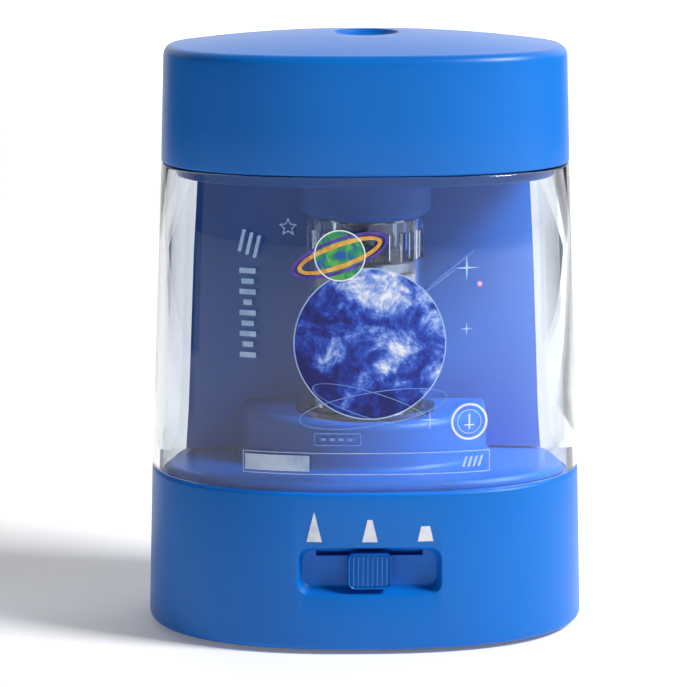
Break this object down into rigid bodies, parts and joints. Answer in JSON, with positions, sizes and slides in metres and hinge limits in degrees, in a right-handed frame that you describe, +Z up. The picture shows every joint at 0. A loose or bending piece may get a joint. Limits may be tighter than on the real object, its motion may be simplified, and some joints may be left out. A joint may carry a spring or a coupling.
{
  "type": "electric pencil sharpener",
  "caption": "Oval battery pencil sharpener with a clear lift-off shavings barrel, a cap with a top pencil hole and a sliding point selector in the base.",
  "frame": {"origin": "centre of the bounding box at the underside of the rubber feet", "axes": "+Z up along the body, +X to the right and -Y towards the front with the selector"},
  "size_m": [0.0818, 0.0618, 0.111],
  "materials": {
    "blue_shell": "satin-gloss moulded plastic",
    "clear_plastic": "polished clear moulding",
    "black_plastic": "fine texture",
    "white_acetal": "satin",
    "steel": "satin",
    "tool_steel": "ground",
    "brass": "satin",
    "rubber": "matte",
    "circuit_green": "gloss lacquer",
    "cell_jacket": "gloss sleeve"
  },
  "bodies": {
    "base": {"base_shell": "blue_shell", "base_plate": "black_plastic", "foot_1": "rubber", "foot_2": "rubber", "foot_3": "rubber", "foot_4": "rubber", "base_screw_1": "steel", "base_screw_2": "steel", "base_screw_3": "steel", "base_screw_4": "steel", "cell_1": "cell_jacket", "cell_2": "cell_jacket", "contact_left_1": "steel", "contact_right_1": "steel", "contact_left_2": "steel", "contact_right_2": "steel", "deck": "blue_shell", "rear_housing": "blue_shell", "circuit_board": "circuit_green", "capacitor": "black_plastic", "guard_cage": "clear_plastic", "ring_gear": "white_acetal", "gear_axle": "steel", "bearing_plate": "steel", "bearing_screw_1": "steel", "bearing_screw_2": "steel", "shaft_bush": "brass", "motor_can": "steel", "motor_end_bell": "black_plastic", "motor_bracket": "steel", "start_switch": "black_plastic"},
    "door": {"battery_door": "black_plastic"},
    "barrel": {"barrel": "clear_plastic"},
    "cap": {"cap_shell": "blue_shell", "cap_plate": "blue_shell", "pencil_guide": "white_acetal", "cap_screw_1": "steel", "cap_screw_2": "steel", "cap_screw_3": "steel", "cap_screw_4": "steel"},
    "selector": {"selector_slide": "blue_shell", "selector_button": "blue_shell"},
    "stop": {"stop_pin": "steel"},
    "carrier": {"carrier_shaft": "steel", "drive_gear": "white_acetal", "cutter_frame": "steel", "cutter_pin": "steel"},
    "cutter": {"cutter": "tool_steel", "cutter_pinion": "brass"},
    "compound": {"compound_gear": "white_acetal"},
    "rotor": {"motor_shaft": "steel", "motor_pinion": "brass"},
    "plunger": {"start_plunger": "white_acetal"}
  },
  "joints": [
    {"name": "barrel_lift", "type": "slide", "parent": "base", "child": "barrel", "axis": [0, 0, 1], "range_m": [0, 0.06]},
    {"name": "cap_lift", "type": "slide", "parent": "barrel", "child": "cap", "axis": [0, 0, 1], "range_m": [0, 0.03]},
    {"name": "battery_door_drop", "type": "slide", "parent": "base", "child": "door", "axis": [0, 0, -1], "range_m": [0, 0.015]},
    {"name": "selector_move", "type": "slide", "parent": "base", "child": "selector", "axis": [1, 0, 0], "range_m": [-0.0081, 0.0081]},
    {"name": "stop_pin_lift", "type": "slide", "parent": "base", "child": "stop", "axis": [0, 0, 1], "range_m": [-0.00098, 0.00098]},
    {"name": "carrier_spin", "type": "hinge", "parent": "base", "child": "carrier", "pos_m": [0, -0.0032, 0.035], "axis": [0, 0, 1], "continuous": true},
    {"name": "cutter_spin", "type": "hinge", "parent": "carrier", "child": "cutter", "pos_m": [0.007, -0.0032, 0.0653], "axis": [0.1781, 0, 0.984], "continuous": true},
    {"name": "compound_spin", "type": "hinge", "parent": "base", "child": "compound", "pos_m": [0.00553, 0.00857, 0.025], "axis": [0, 0, 1], "continuous": true},
    {"name": "motor_spin", "type": "hinge", "parent": "base", "child": "rotor", "pos_m": [0, 0.0169, 0.03], "axis": [0, 0, 1], "continuous": true},
    {"name": "start_plunger_push", "type": "slide", "parent": "base", "child": "plunger", "axis": [0, 1, 0], "range_m": [0, 0.0022], "stiffness_N_per_m": 150, "springref_m": -0.003}
  ],
  "couplings": [
    {"joint": "stop_pin_lift", "follows": "selector_move", "ratio": 0.12},
    {"joint": "cutter_spin", "follows": "carrier_spin", "ratio": -5},
    {"joint": "compound_spin", "follows": "carrier_spin", "ratio": -3.3333},
    {"joint": "motor_spin", "follows": "carrier_spin", "ratio": 13.333}
  ]
}
